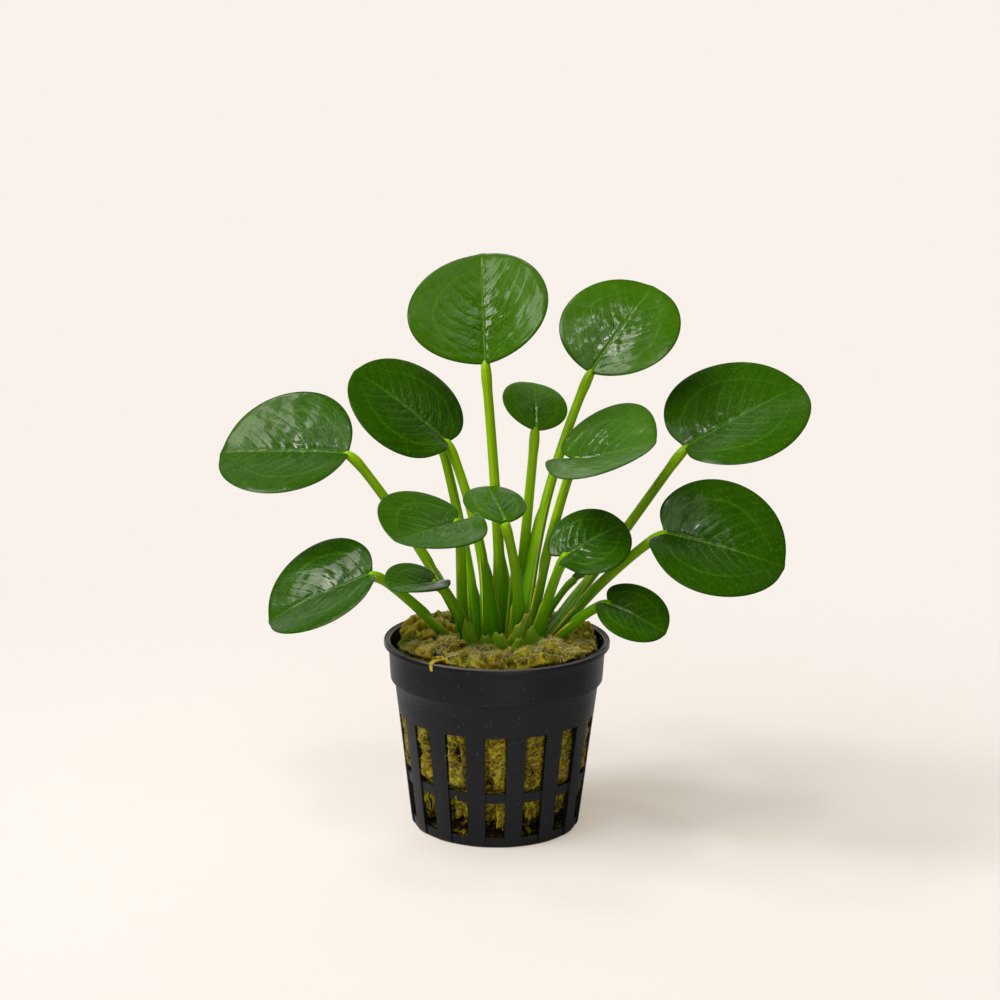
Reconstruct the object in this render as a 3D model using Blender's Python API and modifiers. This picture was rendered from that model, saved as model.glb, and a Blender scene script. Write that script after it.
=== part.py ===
"""Round-leaved anubias growing in a small plastic net pot.

Blender 4.5, metres, +Z up, -Y towards the front.  The origin is the centre of the pot's base.
Run it with: blender --background --python part.py
Pieces: the net pot, the wool it is packed with, the rhizome that creeps over the wool, sixteen
leaves (a blade and a stalk each), a rolled young leaf, and the sheaths and scales round the crown.
"""
from collections import namedtuple
from math import cos, pi, radians, sin

import bmesh
import bpy
import numpy as np
from mathutils import Matrix, Vector

MM = 0.001

# Net pot
POT_HEIGHT = 47.3 * MM
LIP_RADIUS = 28.0 * MM
LIP_WIDTH = 1.5 * MM
LIP_DROP = 1.3 * MM            # height of the lip's outer face
COLLAR_TOP_RADIUS = 26.9 * MM
COLLAR_FOOT_RADIUS = 26.3 * MM
COLLAR_FOOT_Z = 37.7 * MM
BASE_RADIUS = 20.9 * MM
WALL_SLOPE = 0.119             # the wall's lean, radius gained for height
WALL = 0.9 * MM
FLOOR = 1.2 * MM
SLOT_COUNT = 15
SLOT_HALF_ANGLE = radians(6.4)
SLOT_START = 3 * MM            # how far inside the wall the side slots begin
UPPER_SLOT_Z = (14.4 * MM, 29.2 * MM)
LOWER_SLOT_Z = (2.7 * MM, 11.9 * MM)
HUB_RADIUS = 9.0 * MM
FLOOR_SLOT_END = 17.5 * MM
POT_SEGMENTS = 60
EDGE_STEP = 0.5 * MM           # small slopes at the base's corner and under the collar

# Wool and rhizome
WOOL_GAP = 0.4 * MM
WOOL_DIP_Z = 44.0 * MM
WOOL_DIP_RADIUS = 15.5 * MM
WOOL_RING_Z = 48.5 * MM
WOOL_RING_RADIUS = 22.0 * MM
WOOL_SHOULDER_Z = 41.7 * MM    # where the ring's outer side meets the pot's wall
WOOL_SEGMENTS = 30
RHIZOME_RADIUS = 3.1 * MM
RHIZOME_TOP_Z = 44.0 * MM
RHIZOME_REACH = (-11 * MM, 15 * MM)
RHIZOME_Y = -0.5 * MM
RHIZOME_TAPER = 0.25           # part of its radius that the rhizome loses at its ends
RHIZOME_POINTS = 6

# Leaves
BLADE_THICKNESS = 0.6 * MM
BLADE_SPOKES = 20
BLADE_RINGS = (0.45, 0.8, 1.0)
STALK_FOOT_RADIUS = 1.5 * MM
STALK_TOP_RADIUS = 0.95 * MM
STALK_GAP = 1.7 * MM           # stalk's end below the blade's face
STALK_TAPER = 0.6              # below 1, a stalk narrows mostly near its foot
STALK_POINTS = 6

Leaf = namedtuple("Leaf", "at size lobe egg notch turn form foot bow")
# at      joint of stalk and blade, mm
# size    length and width of the blade, mm
# lobe    part of the length behind the joint
# egg     how much wider the blade is towards its base
# notch   width of the notch at the base, radians
# turn    heading of the midrib (0 right, 90 back), its rise, and the blade's roll, degrees
# form    fold along the midrib, curl of the halves, droop of the midrib, degrees
# foot    foot of the stalk, mm;  bow  how far the stalk's middle stands off a straight line, mm
LEAVES = {
    "leaf_01": Leaf((-3.5, 6, 115), (27.5, 38.5), 0.00, 0.04, 0.38,
                    (95, 68, -26), (23, 15, 3), (1.5, 1.5, 45.4), (-1, 0, 0)),
    "leaf_02": Leaf((22.5, 16, 111.5), (29, 32), 0.00, 0.03, 0.36,
                    (38, 47, 25), (18, 20, 12), (5.5, 0.5, 45.4), (-2, 0, 2)),
    "leaf_03": Leaf((46, 8, 94), (36, 39), 0.06, 0.06, 0.24,
                    (17, 26, 26), (24, 28, 8), (11, 2, 45.4), (-1, 0, -2)),
    "leaf_04": Leaf((39, -14, 77.5), (33, 37.5), 0.09, 0.03, 0.20,
                    (-13, -10, 35), (29, 28, 16), (13.2, -1.5, 45.4), (-2.5, 0, 0)),
    "leaf_05": Leaf((26, -18, 61.5), (18.5, 19), 0.13, -0.02, 0.25,
                    (-22, -18, 24), (20, 23, 17), (12.8, -5, 45.4), (-0.5, 0, 1)),
    "leaf_06": Leaf((9, 12, 97.5), (18.5, 17), 0.00, 0.00, 0.36,
                    (90, 39, 13), (14, 20, 20), (4.6, 4.2, 45.4), (0, 0, 0)),
    "leaf_07": Leaf((18, -4, 93), (27.5, 37), 0.22, -0.10, 0.22,
                    (-21, 15, 20), (20, 10, 2), (8.3, -1.5, 45.4), (-1, 0, 0)),
    "leaf_08": Leaf((-12.5, 10, 94), (31, 30.5), 0.04, 0.04, 0.34,
                    (175, 43, -34), (17, 28, 20), (-1.8, -5, 45.4), (2.5, 0, 0)),
    "leaf_09": Leaf((-10, -18, 81), (23, 30.5), 0.18, -0.03, 0.28,
                    (222, -7, -14), (17, 6, 2), (-8.8, -1, 45.4), (0, 0, 0)),
    "leaf_10": Leaf((1.7, -15, 80), (17.5, 15.5), 0.00, -0.10, 0.34,
                    (107, 25, 0), (13, 30, 15), (4.8, -4.5, 45.4), (1.5, 0, 0)),
    "leaf_11": Leaf((-37, 4, 92.5), (34, 37), 0.04, 0.06, 0.30,
                    (170, -1, -34), (25, 20, 10), (-6.5, 2.5, 45.4), (1.5, 0, 0.5)),
    "leaf_12": Leaf((-30, -14, 67), (29.5, 33), 0.07, 0.08, 0.30,
                    (184, -21, -23), (30, 30, 18), (-9.5, -5, 45.4), (0, 0, 1)),
    "leaf_13": Leaf((-14.5, -18, 66), (15.5, 16.5), 0.13, 0.02, 0.35,
                    (219, 4, -12), (24, 15, 12), (-5.8, -5, 45.4), (0.5, 0, 1)),
    "leaf_14": Leaf((14.7, -16, 72), (20, 22), 0.10, -0.08, 0.22,
                    (6, 32, 29), (8, 18, 22), (9.5, -5, 45.4), (-0.5, 0, 0)),
    "leaf_15": Leaf((18.8, 10, 60), (9, 9), 0.00, 0.00, 0.35,
                    (15, 12, -25), (35, 30, 5), (8.3, 4.8, 45.4), (0, 0, 0)),
    "leaf_16": Leaf((-15, 20, 94), (17, 15), 0.05, 0.00, 0.34,
                    (105, 8, 0), (14, 20, 15), (-4.5, -1.5, 45.4), (1, 0, 0)),
}

Shoot = namedtuple("Shoot", "foot tip foot_radius tip_radius")
# Rolled young leaf, old leaf bases and small scales: foot and tip in mm, radii in mm
SHOOTS = {
    "rolled_leaf": Shoot((2.6, -1.8, 45.4), (4.3, -1, 71.5), 0.8, 0.3),
    "sheath_left": Shoot((-5.5, -9.5, 45.4), (-7.6, -13, 53), 1.5, 1.2),
    "sheath_middle": Shoot((5, -9.3, 45.4), (6.3, -10, 58.5), 1.7, 0.4),
    "sheath_right": Shoot((8.8, -9.2, 45.4), (7.6, -10, 53.4), 1.4, 0.6),
    "scale_1": Shoot((-2.8, -11, 45.4), (-3.2, -11.6, 50), 1.3, 0.6),
    "scale_2": Shoot((1, -11, 45.4), (1.2, -12, 51), 1.7, 0.3),
    "scale_3": Shoot((5, -13, 45.4), (5.4, -13.8, 50.5), 1.4, 0.5),
    "scale_4": Shoot((11.6, -8.4, 45.4), (11.4, -9.4, 50), 1.2, 0.5),
}
SHOOT_TAPER = 1.5              # above 1, a shoot narrows mostly near its tip
SHOOT_POINTS = 3

LEAF_GREEN = (0.035, 0.13, 0.012)
STALK_GREEN = (0.16, 0.36, 0.01)
SHEATH_GREEN = (0.08, 0.2, 0.01)
WOOL_OLIVE = (0.2, 0.16, 0.025)
RHIZOME_BROWN = (0.16, 0.1, 0.02)
POT_BLACK = (0.012, 0.012, 0.013)


def clear_scene():
    for obj in list(bpy.data.objects):
        bpy.data.objects.remove(obj, do_unlink=True)


def collection(name):
    group = bpy.data.collections.new(name)
    bpy.context.scene.collection.children.link(group)
    return group


def finish(name, colour, roughness):
    material = bpy.data.materials.new(name)
    material.use_nodes = True
    shader = material.node_tree.nodes["Principled BSDF"]
    shader.inputs["Base Color"].default_value = (*colour, 1)
    shader.inputs["Roughness"].default_value = roughness
    shader.inputs["Metallic"].default_value = 0
    return material


def add_object(name, mesh, group, material):
    mesh.materials.append(material)
    obj = bpy.data.objects.new(name, mesh)
    group.objects.link(obj)
    return obj


def turned(name, profile, segments, group, material):
    """Turn a profile of (radius, height) points round the pot's axis."""
    mesh = bpy.data.meshes.new(name)
    edges = [(i, i + 1) for i in range(len(profile) - 1)]
    mesh.from_pydata([(r, 0, z) for r, z in profile], edges, [])
    obj = add_object(name, mesh, group, material)
    screw = obj.modifiers.new("Turn", "SCREW")
    screw.axis = "Z"
    screw.steps = segments
    screw.render_steps = segments
    screw.use_merge_vertices = True
    screw.merge_threshold = 0.00001
    return obj


def wedge(name, angle, radii, heights, group):
    """A block between two radii and two heights, with sides that run to the axis."""
    bm = bmesh.new()
    bmesh.ops.create_cube(bm, size=2)
    for vert in bm.verts:
        radius = radii[0] if vert.co.y < 0 else radii[1]
        turn = angle - SLOT_HALF_ANGLE * vert.co.x
        height = heights[0] if vert.co.z < 0 else heights[1]
        vert.co = (radius * cos(turn), radius * sin(turn), height)
    mesh = bpy.data.meshes.new(name)
    bm.to_mesh(mesh)
    bm.free()
    obj = bpy.data.objects.new(name, mesh)
    obj.hide_render = True
    obj.display_type = "WIRE"
    group.objects.link(obj)
    return obj


def wall_radius(z):
    return BASE_RADIUS + WALL_SLOPE * z


def make_pot(parts, cutters, material):
    """A thin tapered cup with a collar and a lip, cut by two rows of slots and a slotted floor."""
    outside = [
        (LIP_RADIUS, POT_HEIGHT),
        (LIP_RADIUS, POT_HEIGHT - LIP_DROP),
        (COLLAR_TOP_RADIUS, POT_HEIGHT - LIP_DROP),
        (COLLAR_FOOT_RADIUS, COLLAR_FOOT_Z),
        (wall_radius(COLLAR_FOOT_Z), COLLAR_FOOT_Z - EDGE_STEP),
        (wall_radius(EDGE_STEP), EDGE_STEP),
        (wall_radius(0) - EDGE_STEP, 0),
        (0, 0),
    ]
    inside = [
        (0, FLOOR),
        (wall_radius(FLOOR) - WALL, FLOOR),
        (wall_radius(COLLAR_FOOT_Z) - WALL, COLLAR_FOOT_Z),
        (LIP_RADIUS - LIP_WIDTH, POT_HEIGHT),
    ]
    pot = turned("net_pot", inside + outside, POT_SEGMENTS, parts, material)
    side_radii = (wall_radius(0) - SLOT_START, LIP_RADIUS)
    for i in range(SLOT_COUNT):
        angle = -pi / 2 + i * 2 * pi / SLOT_COUNT
        wedge(f"upper_slot_{i}", angle, side_radii, UPPER_SLOT_Z, cutters)
        wedge(f"lower_slot_{i}", angle, side_radii, LOWER_SLOT_Z, cutters)
        wedge(f"floor_slot_{i}", angle, (HUB_RADIUS, FLOOR_SLOT_END), (-FLOOR, 2 * FLOOR), cutters)
    cut = pot.modifiers.new("Slots", "BOOLEAN")
    cut.operand_type = "COLLECTION"
    cut.collection = cutters
    cut.solver = "EXACT"


def make_wool(parts, material):
    """The wool plug: fills the pot, heaped into a ring round the crown."""
    reach = wall_radius(FLOOR) - WALL - WOOL_GAP
    collar_reach = wall_radius(COLLAR_FOOT_Z) - WALL - WOOL_GAP
    profile = [
        (0, WOOL_DIP_Z),
        (WOOL_DIP_RADIUS, WOOL_DIP_Z),
        (WOOL_RING_RADIUS - 2.5 * MM, WOOL_RING_Z - 1 * MM),
        (WOOL_RING_RADIUS, WOOL_RING_Z),
        (WOOL_RING_RADIUS + 2 * MM, WOOL_RING_Z - 1.5 * MM),
        (collar_reach, WOOL_SHOULDER_Z),
        (collar_reach, COLLAR_FOOT_Z),
        (reach, FLOOR + WOOL_GAP),
        (0, FLOOR + WOOL_GAP),
    ]
    return turned("wool_plug", profile, WOOL_SEGMENTS, parts, material)


def rod(name, points, radii, group, material):
    """A round rod with filled ends along a list of points, with a radius at each."""
    curve = bpy.data.curves.new(name, "CURVE")
    curve.dimensions = "3D"
    curve.bevel_depth = 1 * MM
    curve.bevel_resolution = 2
    curve.use_fill_caps = True
    spline = curve.splines.new("POLY")
    spline.points.add(len(points) - 1)
    for point, place, radius in zip(spline.points, points, radii):
        point.co = (*place, 1)
        point.radius = radius / curve.bevel_depth
    obj = bpy.data.objects.new(name, curve)
    curve.materials.append(material)
    group.objects.link(obj)
    return obj


def make_rhizome(parts, cutters, material):
    """The creeping stem, thick in the middle, and the trough that it has pressed in the wool."""
    left, right = RHIZOME_REACH
    z = RHIZOME_TOP_Z - RHIZOME_RADIUS
    xs = np.linspace(left, right, RHIZOME_POINTS)
    radii = RHIZOME_RADIUS * (1 - RHIZOME_TAPER * np.linspace(-1, 1, RHIZOME_POINTS) ** 2)
    points = [(x, RHIZOME_Y, z) for x in xs]
    rhizome = rod("rhizome", points, radii, parts, material)
    across = 2 * (RHIZOME_RADIUS + WOOL_GAP)
    size = Vector((right - left + 2 * WOOL_GAP, across, across))
    middle = Vector(((left + right) / 2, RHIZOME_Y, z))
    bm = bmesh.new()
    bmesh.ops.create_cube(bm, size=1)
    for vert in bm.verts:
        vert.co = Vector(a * b for a, b in zip(vert.co, size)) + middle
    mesh = bpy.data.meshes.new("trough")
    bm.to_mesh(mesh)
    bm.free()
    trough = bpy.data.objects.new("trough", mesh)
    trough.hide_render = True
    trough.display_type = "WIRE"
    cutters.objects.link(trough)
    return rhizome, trough


def blade_point(leaf, reach, angle):
    """Where a point of the unit disc (reach, angle) lies on the blade, joint at the origin.

    The disc's rim becomes an oval with a notch at the base.  The two halves rise from the midrib
    at the fold angle and curl down along circular arcs, and the midrib itself droops along an arc.
    """
    length, width = (value * MM for value in leaf.size)
    half_width, half_length = width / 2, length / 2
    middle = half_length - leaf.lobe * length
    oval = 1 / np.hypot(cos(angle) / half_width, sin(angle) / half_length)
    from_base = (angle + pi / 2 + pi) % (2 * pi) - pi
    oval *= 1 - (1 - middle / half_length) * np.exp(-(from_base / leaf.notch) ** 2)
    along = middle + reach * oval * sin(angle)
    across = reach * oval * cos(angle) * (1 - leaf.egg * (along - middle) / half_length)
    fold, curl, droop = (radians(value) for value in leaf.form)
    bend = curl / half_width
    slope = fold - bend * abs(across)
    sideways = np.sign(across) * (sin(fold) - sin(slope)) / bend
    height = (cos(slope) - cos(fold)) / bend
    sag = droop / length
    forward = sin(sag * along) / sag
    down = (1 - cos(sag * along)) / sag
    return Vector((sideways,
                   forward + height * sin(sag * along),
                   -down + height * cos(sag * along)))


def leaf_turn(leaf):
    heading, rise, roll = (radians(value) for value in leaf.turn)
    return (Matrix.Rotation(heading - pi / 2, 3, "Z")
            @ Matrix.Rotation(rise, 3, "X")
            @ Matrix.Rotation(roll, 3, "Y"))


def make_blade(name, leaf, parts, material):
    """A disc spun from one spoke, carried to the leaf's shape and thickened."""
    bm = bmesh.new()
    spoke = [bm.verts.new((reach, 0, 0)) for reach in (0, *BLADE_RINGS)]
    edges = [bm.edges.new(pair) for pair in zip(spoke, spoke[1:])]
    bmesh.ops.spin(bm, geom=spoke + edges, cent=(0, 0, 0), axis=(0, 0, 1),
                   angle=2 * pi, steps=BLADE_SPOKES, use_merge=True)
    bmesh.ops.remove_doubles(bm, verts=bm.verts, dist=0.0001)
    turn = Matrix.Rotation(-pi / 2, 2)
    for vert in bm.verts:
        flat = turn @ vert.co.to_2d()
        vert.co = blade_point(leaf, flat.length, np.arctan2(flat.y, flat.x))
    bmesh.ops.recalc_face_normals(bm, faces=bm.faces)
    mesh = bpy.data.meshes.new(name)
    bm.to_mesh(mesh)
    bm.free()
    mesh.shade_smooth()
    blade = add_object(name, mesh, parts, material)
    blade.location = Vector(leaf.at) * MM
    blade.rotation_euler = leaf_turn(leaf).to_euler()
    shell = blade.modifiers.new("Thickness", "SOLIDIFY")
    shell.thickness = BLADE_THICKNESS
    shell.offset = 0
    return blade


def make_stalk(name, leaf, parts, material):
    """A tapering stalk that bows from its foot on the rhizome to just under the blade's joint."""
    foot = Vector(leaf.foot) * MM
    face = leaf_turn(leaf) @ Vector((0, 0, 1))
    top = Vector(leaf.at) * MM - face * STALK_GAP
    bow = Vector(leaf.bow) * MM
    points, radii = [], []
    for t in np.linspace(0, 1, STALK_POINTS):
        points.append(foot.lerp(top, t) + bow * 4 * t * (1 - t))
        radii.append(STALK_FOOT_RADIUS + (STALK_TOP_RADIUS - STALK_FOOT_RADIUS) * t ** STALK_TAPER)
    return rod(name, points, radii, parts, material)


def make_shoot(name, shoot, parts, material):
    foot, tip = Vector(shoot.foot) * MM, Vector(shoot.tip) * MM
    steps = np.linspace(0, 1, SHOOT_POINTS)
    narrowing = shoot.foot_radius - shoot.tip_radius
    radii = [(shoot.foot_radius - narrowing * t ** SHOOT_TAPER) * MM for t in steps]
    return rod(name, [foot.lerp(tip, t) for t in steps], radii, parts, material)


def main():
    clear_scene()
    parts = collection("potted_anubias")
    pot_cutters = collection("pot_cutters")
    wool_cutters = collection("wool_cutters")
    plastic = finish("pot_plastic", POT_BLACK, 0.45)
    wool_finish = finish("wool", WOOL_OLIVE, 0.9)
    bark = finish("rhizome_skin", RHIZOME_BROWN, 0.7)
    leaf_finish = finish("leaf_blade", LEAF_GREEN, 0.3)
    stalk_finish = finish("leaf_stalk", STALK_GREEN, 0.4)
    sheath_finish = finish("sheath", SHEATH_GREEN, 0.5)

    make_pot(parts, pot_cutters, plastic)
    wool = make_wool(parts, wool_finish)
    trough = make_rhizome(parts, wool_cutters, bark)[1]
    cut = wool.modifiers.new("Trough", "BOOLEAN")
    cut.object = trough
    cut.solver = "EXACT"
    for name, leaf in LEAVES.items():
        make_blade(name + "_blade", leaf, parts, leaf_finish)
        make_stalk(name + "_stalk", leaf, parts, stalk_finish)
    for name, shoot in SHOOTS.items():
        make_shoot(name, shoot, parts, sheath_finish)


main()
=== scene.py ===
from math import cos, pi, radians, sin

import bmesh
import bpy
import numpy as np
from mathutils import Euler, Matrix, Vector


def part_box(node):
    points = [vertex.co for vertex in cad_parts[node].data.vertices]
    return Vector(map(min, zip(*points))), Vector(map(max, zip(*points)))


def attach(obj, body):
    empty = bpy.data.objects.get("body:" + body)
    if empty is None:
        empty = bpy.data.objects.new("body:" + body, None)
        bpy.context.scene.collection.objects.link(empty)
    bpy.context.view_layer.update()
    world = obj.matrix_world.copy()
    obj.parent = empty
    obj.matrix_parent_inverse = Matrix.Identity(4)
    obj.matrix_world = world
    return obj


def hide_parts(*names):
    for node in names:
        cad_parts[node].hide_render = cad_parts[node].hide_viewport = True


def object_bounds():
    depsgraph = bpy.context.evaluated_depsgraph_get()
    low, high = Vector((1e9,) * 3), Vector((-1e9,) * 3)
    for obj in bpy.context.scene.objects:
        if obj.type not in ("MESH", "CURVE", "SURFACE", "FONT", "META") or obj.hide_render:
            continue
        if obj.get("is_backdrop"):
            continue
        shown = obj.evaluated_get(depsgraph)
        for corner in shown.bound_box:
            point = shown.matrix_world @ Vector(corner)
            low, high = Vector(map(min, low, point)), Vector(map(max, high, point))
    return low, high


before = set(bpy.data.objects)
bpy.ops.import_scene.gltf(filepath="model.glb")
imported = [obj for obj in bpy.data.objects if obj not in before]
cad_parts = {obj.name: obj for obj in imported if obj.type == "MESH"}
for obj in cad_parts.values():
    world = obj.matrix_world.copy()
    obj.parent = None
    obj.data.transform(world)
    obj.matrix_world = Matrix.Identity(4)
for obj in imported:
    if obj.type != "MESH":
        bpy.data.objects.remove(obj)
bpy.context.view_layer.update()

mm = 0.001


# ------------------------------
# Studio.  A pale cream floor that fades into a background of the same cream, a soft key light high
# on the left, weaker ones round it, a glow behind, and a camera a little above the leaves.
# ------------------------------
cream = (0.945, 0.885, 0.825)
warm, white = (1.0, 0.97, 0.93), (1.0, 0.98, 0.96)
plant_middle = Vector((0, 0, 0.07))


def connect(tree, node, inputs):
    """Fills a node's inputs from (socket, value) pairs: an output socket is linked, a value set."""
    for socket, value in inputs:
        if isinstance(value, bpy.types.NodeSocket):
            tree.links.new(value, node.inputs[socket])
        else:
            node.inputs[socket].default_value = value


def add_node(tree, kind, inputs=(), **settings):
    """A new shader node, set up and with its inputs filled."""
    made = tree.nodes.new("ShaderNode" + kind)
    for key, value in settings.items():
        setattr(made, key, value)
    connect(tree, made, inputs)
    return made


def add_object(name, data):
    """A new object in the scene."""
    made = bpy.data.objects.new(name, data)
    bpy.context.scene.collection.objects.link(made)
    return made


def place_on(tree, kind):
    """The place on the piece in its Object or UV coordinates."""
    return add_node(tree, "TexCoord").outputs[kind]


def map_range(tree, value, start, end, low=0.0, high=1.0, **settings):
    """The value carried over from start and end to low and high."""
    return add_node(tree, "MapRange",
                    [("Value", value), ("From Min", start), ("From Max", end), ("To Min", low),
                     ("To Max", high)], **settings).outputs["Result"]


camera = add_object("camera", bpy.data.cameras.new("camera"))
camera.data.lens = 78.26
camera.data.sensor_width = 36
camera.data.clip_start = 0.01
camera.matrix_world = (Matrix.Translation((0.0004, -0.52, 0.1973))
                       @ Euler((radians(77.54), 0, 0)).to_matrix().to_4x4()
                       @ Matrix.Rotation(radians(0.59), 4, "Z"))
bpy.context.scene.camera = camera
bpy.context.scene.view_settings.view_transform = "Standard"

for name, place, size, power, colour in (
        ("key_light", (-1.40, -0.16, 1.93), 0.80, 30.0, warm),
        ("side_light", (-2.03, -0.93, 1.05), 0.52, 15.7, warm),
        ("wide_light", (-0.50, -1.05, 1.70), 1.4, 13.0, white),
        ("low_light", (0.35, -1.5, 0.08), 1.0, 4.5, white),
        ("back_spark", (-0.62, 0.36, 1.35), 0.2, 2.5, white),
        ("top_spark", (-0.27, -0.50, 1.50), 0.16, 2.0, white)):
    light = add_object(name, bpy.data.lights.new(name, "AREA"))
    light.data.size = size
    light.data.energy = power
    light.data.color = colour
    light.location = place
    light.rotation_euler = (plant_middle - light.location).to_track_quat("-Z", "Y").to_euler()

world = bpy.data.worlds.new("studio")
bpy.context.scene.world = world
world.use_nodes = True
tree = world.node_tree
tree.nodes.clear()
seen = add_node(tree, "Background", [("Color", (*cream, 1)), ("Strength", 1.0)])
sky = add_node(tree, "TexCoord").outputs["Generated"]
sky = add_node(tree, "SeparateXYZ", [(0, sky)])
glow = map_range(tree, sky.outputs["Y"], 0.45, 1.0, 0.06, 1.1)
lit = add_node(tree, "Background", [("Color", (1.0, 0.97, 0.94, 1)), ("Strength", glow)])
ray = add_node(tree, "LightPath").outputs["Is Camera Ray"]
both = add_node(tree, "MixShader", [(0, ray), (1, lit.outputs[0]), (2, seen.outputs[0])])
add_node(tree, "OutputWorld", [("Surface", both.outputs[0])])

floor_mesh = bpy.data.meshes.new("floor")
floor_mesh.from_pydata([(-1, -1, 0), (1, -1, 0), (1, 1, 0), (-1, 1, 0)], [], [(0, 1, 2, 3)])
floor = add_object("floor", floor_mesh)
floor_paint = bpy.data.materials.new("floor_paint")
floor_paint.use_nodes = True
tree = floor_paint.node_tree
tree.nodes.clear()
place = place_on(tree, "Object")
reach = add_node(tree, "VectorMath", [(0, place)], operation="LENGTH").outputs["Value"]
fade = map_range(tree, reach, 0.06, 0.28, interpolation_type="SMOOTHSTEP")
ray = add_node(tree, "LightPath").outputs["Is Camera Ray"]
own = add_node(tree, "Emission", [("Color", (0.40, 0.35, 0.28, 1)), ("Strength", ray)])
cloth = add_node(tree, "BsdfDiffuse", [("Color", (0.54, 0.53, 0.55, 1))])
matt = add_node(tree, "AddShader", [(0, own.outputs[0]), (1, cloth.outputs[0])])
clear = add_node(tree, "BsdfTransparent")
both = add_node(tree, "MixShader", [(0, fade), (1, matt.outputs[0]), (2, clear.outputs[0])])
add_node(tree, "OutputMaterial", [("Surface", both.outputs[0])])
floor_mesh.materials.append(floor_paint)
floor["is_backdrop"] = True


# ------------------------------
# Net pot.  One thin moulding in charcoal-black plastic: a lip with two fine grooves, a collar,
# fifteen bars that stand a little proud of the rings between two rows of slots, and an open floor.
# ------------------------------
pot_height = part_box("net_pot")[1].z
foot_radius = 20.9 * mm
wall = 0.9 * mm
wall_lean = 0.119  # radius gained for height
slots = 15
slot_half = 6.4  # degrees
slot_middles = np.arange(slots) * 360 / slots - 90


def add_piece(mesh, material, slot_name, *nodes):
    """The finished piece, named as its mesh, which stands for CAD nodes and wears one material."""
    mesh.materials.append(material)
    piece = add_object(mesh.name, mesh)
    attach(piece, "root")
    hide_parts(*nodes)
    return piece


def new_material(name, values):
    """A material, its node tree and its Principled shader with these values set."""
    material = bpy.data.materials.new(name)
    material.use_nodes = True
    shader = material.node_tree.nodes["Principled BSDF"]
    connect(material.node_tree, shader, values)
    return material, material.node_tree, shader


def about_axis(radius, height, angle, aside=0):
    """Points at a radius, an angle and a height, moved aside at a right angle to the radius:
    x = radius cos - aside sin, y = radius sin + aside cos."""
    return np.stack(np.broadcast_arrays(radius * np.cos(angle) - aside * np.sin(angle),
                                        radius * np.sin(angle) + aside * np.cos(angle), height), -1)


def cut_shell(outer, inner, solid):
    """Points and faces of a closed wall between two grids (row, column, xyz) that run all the way
    round.  Cells where solid is False are left open, and a face joins the outer grid to the inner
    one along every edge between a solid cell and an open one.  Row 0 is a pole."""
    rows, columns = outer.shape[:2]
    lift = rows * columns
    here = np.arange(lift).reshape(rows, columns)
    beside = np.roll(here, -1, axis=1)
    skin = np.stack([here[:-1], beside[:-1], beside[1:], here[1:]], -1)[solid]
    none = np.zeros((1, columns), bool)
    change = np.vstack([none, solid])[:rows] != np.vstack([solid, none])
    change[0] = False
    across = np.stack([here, beside, beside + lift, here + lift], -1)[change]
    change = solid != np.roll(solid, 1, axis=1)
    along = np.stack([here[:-1], here[1:], here[1:] + lift, here[:-1] + lift], -1)[change]
    points = np.concatenate([outer.reshape(-1, 3), inner.reshape(-1, 3)])
    faces = np.concatenate([skin, skin[:, ::-1] + lift, across, along])
    return points, faces.tolist()


def set_attribute(mesh, name, values):
    """Stores one number per point of the mesh."""
    mesh.attributes.new(name, "FLOAT", "POINT").data.foreach_set("value", np.ravel(values))


# Rows of the pot from the middle of its floor to its lip: outer radius, outer height, inner
# radius, inner height, all in millimetres.
pot_rows = np.array([
    (0, 0, 0, 1.2), (4, 0, 4, 1.2), (9, 0, 9, 1.2), (13.2, 0, 13.2, 1.2), (17.5, 0, 17.5, 1.2),
    (19.4, 0, 19.0, 1.2), (20.3, 0.02, 19.6, 1.22), (20.75, 0.22, 20.0, 1.3),
    (20.95, 0.7, 20.1, 1.7), (21.22, 2.7, 20.32, 2.7), (21.6, 5.8, 20.7, 5.8),
    (21.96, 8.9, 21.06, 8.9), (22.31, 11.9, 21.41, 11.9), (22.46, 13.1, 21.56, 13.1),
    (22.61, 14.4, 21.71, 14.4), (23.05, 18.1, 22.15, 18.1), (23.5, 21.8, 22.6, 21.8),
    (23.93, 25.5, 23.03, 25.5), (24.37, 29.2, 23.47, 29.2), (24.6, 31.0, 23.7, 31.0),
    (24.95, 34.0, 24.05, 34.0), (25.32, 37.05, 24.42, 37.05), (25.45, 37.2, 24.5, 37.6),
    (26.15, 37.45, 24.8, 38.3), (26.33, 37.65, 25.0, 39.0), (26.36, 38.0, 25.15, 39.6),
    (26.5, 40.0, 25.45, 41.0), (26.62, 42.2, 25.75, 42.6), (26.74, 44.2, 26.0, 44.2),
    (26.84, 45.75, 26.15, 45.4), (26.95, 45.98, 26.2, 45.7), (27.75, 46.02, 26.25, 46.0),
    (27.97, 46.15, 26.27, 46.1), (28.0, 46.4, 26.29, 46.2), (28.0, 47.12, 26.31, 46.3),
    (27.96, 47.24, 26.33, 46.4), (27.88, 47.3, 26.34, 46.45), (27.76, 47.3, 26.35, 46.5),
    (27.68, 46.9, 26.36, 46.55), (27.4, 46.9, 26.37, 46.6), (27.32, 47.28, 26.38, 46.65),
    (27.16, 47.28, 26.39, 46.7), (27.08, 46.9, 26.4, 46.75), (26.82, 46.9, 26.41, 46.8),
    (26.74, 47.24, 26.42, 46.85), (26.6, 47.22, 26.43, 46.9), (26.46, 47.05, 26.44, 46.95)])
pot_rows[:, 1::2] *= pot_height / (pot_rows[:, 1].max() * mm)
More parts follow.
